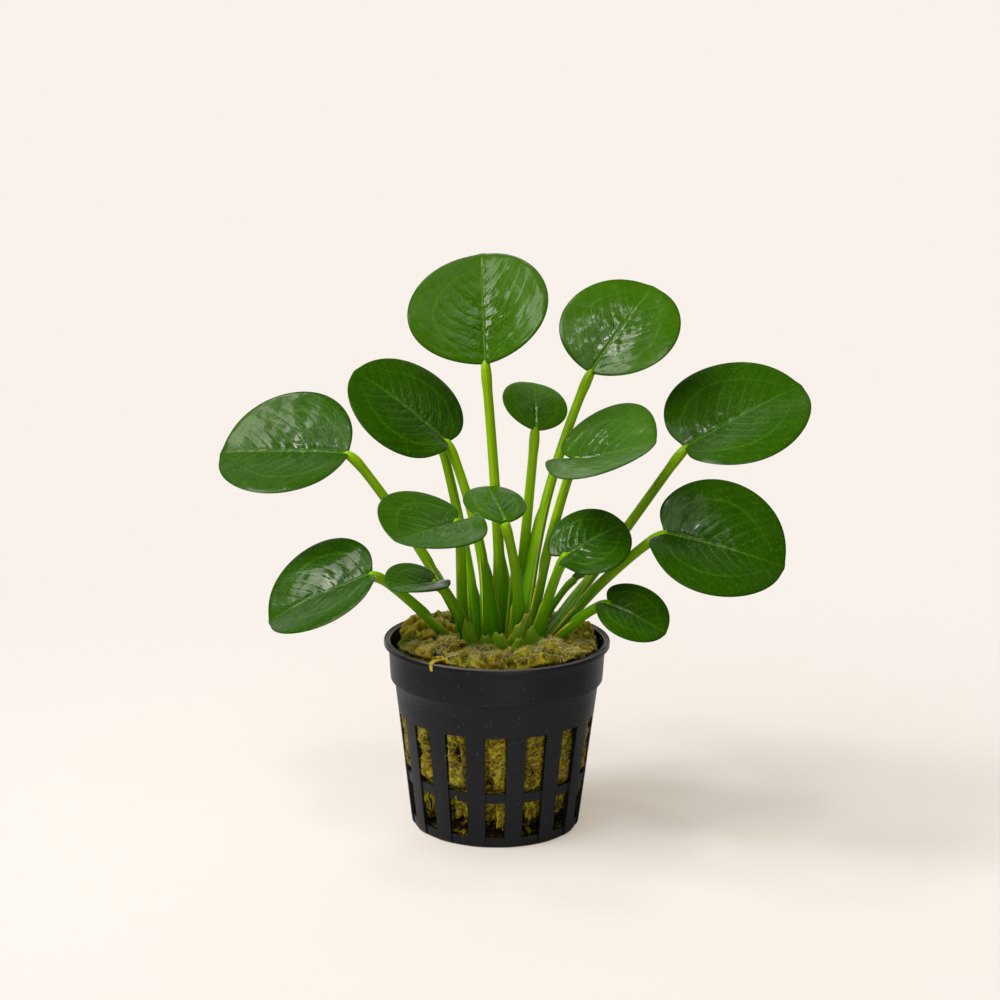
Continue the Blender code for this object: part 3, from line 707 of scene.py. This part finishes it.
def blade_surface(size, lobe, egg, notch, form, ear):
    """The middle of a blade, joint at the origin and midrib along +Y, and how far each point lies
    across and along it.  A disc's rim becomes an oval with a notch at its base; the halves rise
    from a rounded valley at the fold angle and curl down on arcs, and the midrib droops on an
    arc.  The valley is the root of the squared way across and a square that grows to the tip.
    An ear of the rim beside the notch is turned up along a bell curve."""
    length, width = (value * mm for value in size)
    half_width, half_length = width / 2, length / 2
    middle = half_length - lobe * length
    oval = 1 / np.hypot(np.cos(disc_angle) / half_width, np.sin(disc_angle) / half_length)
    from_base = (disc_angle + pi / 2 + pi) % (2 * pi) - pi
    oval = oval * (1 - (1 - middle / half_length) * np.exp(-(from_base / notch) ** 2))
    from_tip = (disc_angle - pi / 2 + pi) % (2 * pi) - pi
    oval = oval * (1 + 0.015 * np.exp(-(from_tip / 0.1) ** 2))
    along = middle + disc_reach * oval * np.sin(disc_angle)
    across = disc_reach * oval * np.cos(disc_angle) * (1 - egg * (along - middle) / half_length)
    fold, curl, droop = (radians(value) for value in form)
    bend = curl / half_width
    sideways = np.sign(across) * (sin(fold) - np.sin(fold - bend * np.abs(across))) / bend
    valley = width * (0.04 + 0.12 * np.clip(along / length, 0, 1))
    soft = np.sqrt(across ** 2 + valley ** 2)
    height = (np.cos(fold - bend * soft) - cos(fold)) / bend
    sag = droop / length
    forward = np.sin(sag * along) / sag
    down = (1 - np.cos(sag * along)) / sag
    flat = np.stack([across, along, 0 * across], -1)
    spot, wide, lift = ear
    turned_up = lift * mm * np.exp(-((from_base - spot) / wide) ** 2) * disc_reach ** 3
    return np.stack([sideways - 0.35 * np.sign(spot) * turned_up, forward + height * np.sin(sag * along),
                     height * np.cos(sag * along) - down + turned_up], -1), flat


def vein_relief(flat, size, seed):
    """How far the upper face sinks at its veins and swells between them, how much vein shows, how
    puckered the blade is, which falls off from the midrib as a bell curve, and a place measured
    across and along the side veins.
    The midrib is a furrow that fades to the tip.  Side veins leave it in pairs and arch towards
    the tip; two long ones follow the rim.  Soft swellings of three sizes fill the fields."""
    length, width = (value * mm for value in size)
    side, up = np.abs(disc_x), disc_y
    middle = np.exp(-(flat[..., 0] / (0.35 * mm)) ** 2) * np.clip((1.05 - up) / 1.3, 0, 1)
    count = 2.4 + length / (11 * mm)
    phase = ((up + 1) * (1 - 0.38 * side ** 2) - 0.62 * side) * count + 0.35
    apart = np.abs(phase - np.round(phase)) * length / 2 / count
    ribs = np.exp(-(apart / (0.22 * mm)) ** 2) * np.clip(1.15 - disc_reach, 0, 1) ** 0.6
    ribs = ribs * np.clip(side * 9, 0, 1)
    bow = 0.66 * np.sin(pi * np.clip((up + 1) / 1.9, 0, 1)) ** 0.75
    long = np.exp(-((side - bow) * width / 2 / (0.3 * mm)) ** 2) * np.clip(1.1 - up, 0, 1)
    point = flat + np.array((0.013, 0.017, 0.011)) * seed
    puckered = np.exp(-(side / 0.42) ** 2 - ((up + 0.25) / 0.55) ** 2)
    by_vein = np.stack([phase / count * length / 2, side * width / 2, 0 * side + 0.01 * seed], -1)
    swell = (0.10 * cloud(point, 3.4 * mm) + (0.03 + 0.09 * puckered) * cloud(point + 0.4, 1.6 * mm)
             + (0.003 + 0.07 * puckered) * cloud(by_vein * (1, 0.7, 1), 1.5 * mm))
    relief = -0.34 * middle - (0.05 + 0.13 * puckered) * ribs - 0.03 * long + swell
    vein = np.clip(middle + (0.28 + 0.32 * puckered) * ribs + 0.35 * long, 0, 1)
    return relief * mm, vein, puckered, by_vein


def blade_turn(turn):
    """Heading about Z, then rise about X, then roll about Y, as a 3x3 array."""
    heading, rise, roll = (radians(value) for value in turn)
    return np.array(Matrix.Rotation(heading - pi / 2, 3, "Z")
                    @ Matrix.Rotation(rise, 3, "X") @ Matrix.Rotation(roll, 3, "Y"))

uv_unit = 40 * mm  # length on a blade or stalk that one unit of its UV map covers


def store_uv(mesh, flat, name="UVMap"):
    """A UV map that lies flat on the piece, with its origin at the middle of the map."""
    corner = np.zeros(len(mesh.loops), int)
    mesh.loops.foreach_get("vertex_index", corner)
    layer = mesh.uv_layers.new(name=name)
    layer.data.foreach_set("uv", (flat[corner, :2] / uv_unit + 0.5).ravel())


def streaks(tree, place, scale, detail, distortion=0.0):
    """Noise squeezed by a scale for each axis, so that it runs in streaks."""
    stretch = add_node(tree, "Mapping", [("Vector", place), ("Scale", scale)])
    return noise(tree, stretch.outputs[0], 1.0, detail, distortion)


def node_box(name):
    """The lowest and highest corners of a CAD node, as arrays."""
    return [np.array(corner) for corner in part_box(name)]


side_points = len(lines)
upper = np.arange(side_points ** 2).reshape(side_points, side_points)
lower = upper.copy()
lower[1:-1, 1:-1] = side_points ** 2 + np.arange((side_points - 2) ** 2).reshape(side_points - 2, -1)
blade_faces = np.concatenate([
    np.stack([grid[:-1, :-1], grid[:-1, 1:], grid[1:, 1:], grid[1:, :-1]], -1).reshape(-1, 4)[:, way]
    for grid, way in ((upper, slice(None)), (lower, slice(None, None, -1)))]).tolist()

leaf_wax, tree, shader = new_material("leaf_wax", [
    ("Specular IOR Level", 0.1), ("Specular Tint", (0.8, 1.0, 0.5, 1)), ("Coat Roughness", 0.12),
    ("Coat IOR", 1.45)])
flat_place = place_on(tree, "UV")
vein_place = add_node(tree, "UVMap", uv_map="VeinMap").outputs["UV"]
tone, vein, under, rim, puckered = (
    attribute(tree, name) for name in ("tone", "vein", "under", "rim", "puckered"))
broad = noise(tree, flat_place, 9.0, 4.0)
mottle = noise(tree, flat_place, 60.0, 5.0, 1.0)
streak = streaks(tree, vein_place, (34.0, 20.0, 1.0), 3.0, 1.5)
deep = mix_colour(tree, broad, (0.0075, 0.045, 0.0002), (0.024, 0.086, 0.0003))
bright = mix_colour(tree, broad, (0.042, 0.16, 0.0003), (0.09, 0.235, 0.0008))
# Painted light in part: each leaf's tone sets how deep or bright its green is, lower for leaves facing
# away from the key light and higher for leaves lit from behind
colour = mix_colour(tree, tone, deep, bright)
colour = mix_colour(tree, map_range(tree, mottle, 0.55, 0.85), colour, (0.08, 0.2, 0.008))
colour = mix_colour(tree, maths(tree, "MULTIPLY", vein, 0.6), colour, (0.14, 0.34, 0.02))
for turned, narrow in ((0.6, (30.0, 70.0, 1.0)), (-0.9, (70.0, 26.0, 1.0))):
    dashes = add_node(tree, "Mapping",
                      [("Vector", flat_place), ("Rotation", (0.0, 0.0, turned)), ("Scale", narrow)])
    flecks = add_specks(tree, dashes.outputs[0], 1.0, 0.12)
    colour = mix_colour(tree, flecks, colour, (0.17, 0.33, 0.07))
pale_vein = mix_colour(tree, vein, (0.13, 0.28, 0.03), (0.3, 0.5, 0.1))
colour = mix_colour(tree, under, colour, pale_vein)
# Painted shade: a thin dark green line along the rolled rim, where the edge turns away from the light
colour = mix_colour(tree, rim, colour, (0.014, 0.06, 0.0005))
gloss = map_range(tree, mottle, 0.0, 1.0, 0.2, 0.31)
wet = map_range(tree, broad, 0.38, 0.62, 0.15, 0.75)
crease = maths(tree, "MULTIPLY", streak, maths(tree, "MULTIPLY_ADD", puckered, 0.95, 0.05))
connect(tree, shader, [("Base Color", colour),
                       ("Roughness", maths(tree, "MULTIPLY_ADD", under, 0.2, gloss)),
                       ("Coat Weight", maths(tree, "MULTIPLY_ADD", puckered, wet, 0.11)),
                       ("Normal", add_bump(tree, crease, 0.9, 0.0011))])

grid_place = np.concatenate([upper.ravel(), upper[1:-1, 1:-1].ravel()])
joints, faces_up, midribs = {}, {}, {}
for number, (name, (size, lobe, egg, notch, turn, form, tone)) in enumerate(blades.items()):
    middle, flat = blade_surface(size, lobe, egg, notch, form, ears.get(name, (0.5, 0.3, 0)))
    face = normals_of(middle)
    relief, vein, puckered, by_vein = vein_relief(flat, size, number + 1)
    thick = half_thick * np.sqrt(np.clip(1 - disc_reach ** 24, 0, 1))[..., None]
    inside = np.clip((1 - disc_reach) * 12, 0, 1)
    above = middle + face * (thick + (relief * inside)[..., None])
    below = middle - face * (thick - (1.1 * relief * vein * inside)[..., None])
    points = np.concatenate([above.reshape(-1, 3), below[1:-1, 1:-1].reshape(-1, 3)])
    points = points @ blade_turn(turn).T
    low, high = node_box(name + "_blade")
    shift = (low + high - points.min(0) - points.max(0)) / 2
    joints[name] = points[side_points // 2] + shift
    faces_up[name] = blade_turn(turn)[:, 2]
    midribs[name] = blade_turn(turn)[:, 1]
    mesh = bpy.data.meshes.new(name + "_blade_waxy")
    mesh.from_pydata(points + shift, [], blade_faces)
    mesh.shade_smooth()
    store_uv(mesh, flat.reshape(-1, 3)[grid_place] + 0.031 * number)
    store_uv(mesh, by_vein.reshape(-1, 3)[grid_place] + 0.047 * number, "VeinMap")
    for label, values in (("vein", vein), ("puckered", puckered), ("rim", disc_reach ** 60),
                          ("tone", np.full_like(vein, tone))):
        set_attribute(mesh, label, values.ravel()[grid_place])
    set_attribute(mesh, "under", np.arange(len(grid_place)) >= side_points ** 2)
    add_piece(mesh, leaf_wax, "leaf_blade", name + "_blade")


# ------------------------------
# Stalks.  Yellow-green, finely ribbed stalks that carry the blades.  Near the crown each is a
# broad sheath with a thin yellowish margin on both sides; at the top it swells into a short knee.
# ------------------------------
# leaf: foot (mm), bow (mm), share of the stalk that is sheathed, extra half width of the sheath (mm)
foot_height = 45.4  # mm, in the top of the wool
stalks = {
    "leaf_01": ((1.5, 1.5), (0.5, 0, 0), 0.33, 0.8),
    "leaf_02": ((5.5, 0.5), (-2, 0, 2), 0.5, 0.9),
    "leaf_03": ((11, 2), (-1, 0, -2), 0.45, 0.9),
    "leaf_04": ((13.2, -1.5), (-2.5, 0, 0), 0.4, 0.8),
    "leaf_05": ((12.8, -5), (-0.5, 0, 1), 0.5, 0.6),
    "leaf_06": ((4.6, 4.2), (0, 0, 0), 0.3, 0.3),
    "leaf_07": ((8.3, -1.5), (-1, 0, 0), 0.45, 0.9),
    "leaf_08": ((-1.8, -5), (2.5, 0, 0), 0.45, 1.1),
    "leaf_09": ((-8.8, -1), (0, 0, 0), 0.35, 0.3),
    "leaf_10": ((4.8, -4.5), (1.5, 0, 0), 0.4, 0.4),
    "leaf_11": ((-6.5, 2.5), (1.5, 0, 0.5), 0.42, 0.8),
    "leaf_12": ((-9.5, -5), (0, 0, 1), 0.4, 0.6),
    "leaf_13": ((-5.8, -5), (0.5, 0, 1), 0.35, 0.2),
    "leaf_14": ((9.5, -5), (-0.5, 0, 0), 0.55, 0.4),
    "leaf_15": ((8.3, 4.8), (0, 0, 0), 0.3, 0.1),
    "leaf_16": ((-4.5, -1.5), (1, 0, 0), 0.3, 0.2)}
t = np.linspace(0, 1, 90)[:, None]
phi = circle(56)[None]


def stalk_rings_of(foot, top, bow, sheathed, extra, thin, midrib):
    """Rings round a line that bows from the foot to the joint, turns there in a short curve and
    runs out under the midrib.  The inner side of a ring, at phi 90 degrees, is flat along the
    sheath and its two edges stand out as thin fins; fine ribs run all along."""
    tall = np.linalg.norm(top - foot)
    way = t * (tall + 4 * mm) / tall
    bent = np.clip((way - 1) * tall, 0, None) + 1.2 * mm * np.exp(-np.abs(way - 1) * tall / (1.2 * mm))
    rise = np.minimum(way, 1)
    line = foot + (top - foot) * rise + bow * 4 * rise * (1 - rise) + midrib * (bent - 0.6 * mm)
    ahead = np.gradient(line, axis=0)
    ahead /= np.linalg.norm(ahead, axis=1, keepdims=True)
    inward = np.array((-foot[0], -foot[1], 14 * mm)) - 0.6 * (top - foot) * (1, 1, 0)
    inner = inward - ahead * (ahead @ inward)[:, None]
    inner /= np.linalg.norm(inner, axis=1, keepdims=True)
    beside = np.cross(ahead, inner)
    sheath = 1 - step(t, sheathed - 0.1, sheathed)
    base = (1.14 + 0.5 * (1 - t) ** 2) * thin * mm
    knee = 0.16 * mm * np.exp(-((way - 0.96) * tall / (2.0 * mm)) ** 2)
    ending = 1 - 0.85 * step(way, 0.985, 1 + 3 * mm / tall)
    wide = (base + knee) * ending + extra * 1.7 * step(1 - t, 1 - sheathed, 0.95) ** 0.8 * mm
    deep = (base + knee) * ending
    rib = 1 + 0.022 * np.sin(9 * phi + 3 * t) + 0.012 * np.sin(17 * phi)
    x = wide * np.cos(phi) * rib
    y = deep * np.sin(phi) * rib
    y = np.where(y > 0, y * (1 - 0.35 * sheath), y)
    fin = sum(np.exp(-(((phi - at + pi) % (2 * pi) - pi) / 0.1) ** 2) for at in (0.2, pi - 0.2))
    spot = np.broadcast_arrays(t * 9 + foot[0] * 3000, np.sign(np.cos(phi)), extra)
    frill = 1 + 0.3 * cloud(np.stack(spot, -1), 0.7)
    fin = fin * sheath * (0.55 * frill) * mm
    x = x + fin * np.sign(np.cos(phi)) * 0.75
    y = y + fin * 0.8
    rings = line[:, None] + x[..., None] * beside[:, None] + y[..., None] * inner[:, None]
    return rings, np.clip(fin / (0.35 * mm), 0, 1)


stalk_skin, tree, shader = new_material("stalk_skin", [
    ("Roughness", 0.34), ("Specular IOR Level", 0.25), ("Specular Tint", (0.9, 1.0, 0.4, 1))])
flat_place = place_on(tree, "UV")
upward = attribute(tree, "upward")
streak = streaks(tree, flat_place, (120.0, 4.0, 1.0), 2.0)
# Painted light along each stalk: deeper green towards the foot, inside the crown under the leaves, and
# towards the blade a brighter yellow-green that is partly the stalk's own colour and partly painted
# light shining through it
low_end = mix_colour(tree, streak, (0.03, 0.18, 0.0003), (0.15, 0.42, 0.0008))
high_end = mix_colour(tree, streak, (0.15, 0.38, 0.0005), (0.4, 0.66, 0.002))
colour = mix_colour(tree, upward, low_end, high_end)
foot_end = map_range(tree, upward, 0.0, 0.12)
membrane = mix_colour(tree, foot_end, (0.42, 0.2, 0.015), (0.66, 0.74, 0.04))
colour = mix_colour(tree, attribute(tree, "margin"), colour, membrane)
connect(tree, shader, [("Base Color", colour), ("Normal", add_bump(tree, streak, 0.3, 0.0003))])

for name, (foot, bow, sheathed, extra) in stalks.items():
    foot, bow = np.array((*foot, foot_height)) * mm, np.array(bow) * mm
    top = joints[name] - faces_up[name] * 0.5 * mm
    thin = 0.72 if name == "leaf_15" else 1.0
    rings, fin = stalk_rings_of(foot, top, bow, sheathed, extra, thin, midribs[name])
    mesh = tube_mesh(name + "_stalk_ribbed", rings[None])
    length = np.linalg.norm(top - foot)
    store_uv(mesh, np.stack([phi * 1.5 * mm + 0 * t, t * length + 0 * phi], -1).reshape(-1, 2))
    set_attribute(mesh, "margin", fin)
    set_attribute(mesh, "upward", step(t * length, 2 * mm, 40 * mm) + 0 * phi)
    add_piece(mesh, stalk_skin, "leaf_stalk", name + "_stalk")


# ------------------------------
# Crown.  The creeping stem with its leaf scars, the sheaths and stubs of old leaves, small green
# scales round the foot of the stalks, and one young leaf still rolled up.
# ------------------------------
low, high = node_box("rhizome")
middle, half = (low + high) / 2, (high - low) / 2
s = np.linspace(-1, 1, 120)[:, None]
phi = circle(48)[None]
round_end = np.sqrt(np.clip(1 - s ** 6, 0.0001, 1))
ring_scar = 1 + 0.05 * np.abs(np.sin(s * 16)) ** 0.5
radius = 0.92 * half[2] * round_end * ring_scar
stem = middle + np.stack(np.broadcast_arrays(half[0] * s, radius * np.cos(phi),
                                             radius * np.sin(phi)), -1)
stem = stem + (stem - middle) * (0.05 * cloud(stem, 1.2 * mm))[..., None] * (0, 1, 1)
stem_mesh = tube_mesh("rhizome_scarred", stem[None])

bark, tree, shader = new_material("rhizome_bark", [("Roughness", 0.6)])
place = place_on(tree, "Object")
patches = noise(tree, place, 500.0, 6.0)
colour = mix_colour(tree, patches, (0.1, 0.05, 0.008), (0.4, 0.27, 0.07))
connect(tree, shader, [("Base Color", colour), ("Normal", add_bump(tree, patches, 0.6, 0.0004))])
add_piece(stem_mesh, bark, "rhizome_skin", "rhizome")

sheath_skin, tree, shader = new_material("sheath_skin", [("Roughness", 0.42)])
flat_place = place_on(tree, "UV")
streak = streaks(tree, flat_place, (200.0, 12.0, 1.0), 4.0)
colour = mix_colour(tree, streak, (0.025, 0.13, 0.0008), (0.26, 0.5, 0.004))
colour = mix_colour(tree, attribute(tree, "dry"), colour, (0.5, 0.5, 0.03))
connect(tree, shader, [("Base Color", colour), ("Normal", add_bump(tree, streak, 0.3, 0.0003))])

# shoot: lean to the right and to the front over its height (mm), half width at its foot and in
# its middle (mm), how far it curves round (mm), how dry its edges are, the share of its height
# over which it narrows, how much lower its left edge ends (minus: its right edge), and how much
# taller it stands than its plain solid (mm)
shoots = {
    "rolled_leaf": ((1.7, -0.8), (0.8, 0.75), 0.2, 0.1, 0.7, 0, 0),
    "sheath_left": ((-2.1, 3.5), (2.0, 2.0), 1.2, 0.05, 0.45, 0, 2.5),
    "sheath_middle": ((2.4, 0.7), (2.6, 3.0), 1.1, 0.3, 0.12, 0.5, 0.5),
    "sheath_right": ((-1.2, 0.8), (2.3, 2.2), 0.9, 0.1, 0.6, 0.3, 1.5),
    "scale_1": ((-0.4, 0.6), (2.0, 2.0), 0.9, 0.1, 0.35, 0.2, 2.2),
    "scale_2": ((0.2, 1.0), (2.5, 2.5), 0.9, 0.15, 0.3, -0.35, 2.4),
    "scale_3": ((0.4, 0.8), (2.0, 2.0), 0.9, 0.1, 0.4, 0.3, 2.2),
    "scale_4": ((-0.2, 1.0), (2.2, 2.0), 0.7, 0.15, 0.35, -0.4, 1.5)}
s = np.linspace(0, 1, 48)[:, None]
for name, (lean, (foot_half, mid_half), curve, dryness, narrow, cut, taller) in shoots.items():
    low, high = node_box(name)
    centre, tall = (low + high) / 2, high[2] - low[2] + taller * mm
    right, front = lean
    half_wide = (foot_half * (1 - s) + mid_half * s) * np.clip((1 - s) / narrow, 0.02, 1) ** 0.6 * mm
    half_wide = half_wide * (1 + 0.06 * np.sin(11 * s + 9 * mid_half))
    across = half_wide * np.cos(phi)
    share = np.clip(across / (foot_half * mm), -1, 1)
    rise = s * (1 - abs(cut) / 2 + cut * share / 2 + 0.05 * np.sin(8 * share + 5 * foot_half) * s)
    line = np.stack([centre[0] + right * mm * (s - 0.5) + 0 * phi,
                     centre[1] - front * mm * (s - 0.5) + 0 * phi, low[2] + tall * rise], -1)
    bulge = curve * mm * (1 - (across / (foot_half * mm)) ** 2)
    thin = (0.9 if name == "rolled_leaf" else 0.35) * half_wide.clip(0.05 * mm, 0.9 * mm) * np.sin(phi)
    rings = line + np.stack([across, thin - bulge, 0 * across], -1)
    mesh = tube_mesh(name + "_veined", rings[None])
    store_uv(mesh, np.stack([across, tall * s + 0 * phi], -1).reshape(-1, 2))
    edge = np.abs(np.cos(phi)) ** 14 + s ** 6
    set_attribute(mesh, "dry", np.clip(edge, 0, 1) * dryness * 3)
    add_piece(mesh, sheath_skin, "sheath", name)


low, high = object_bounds()
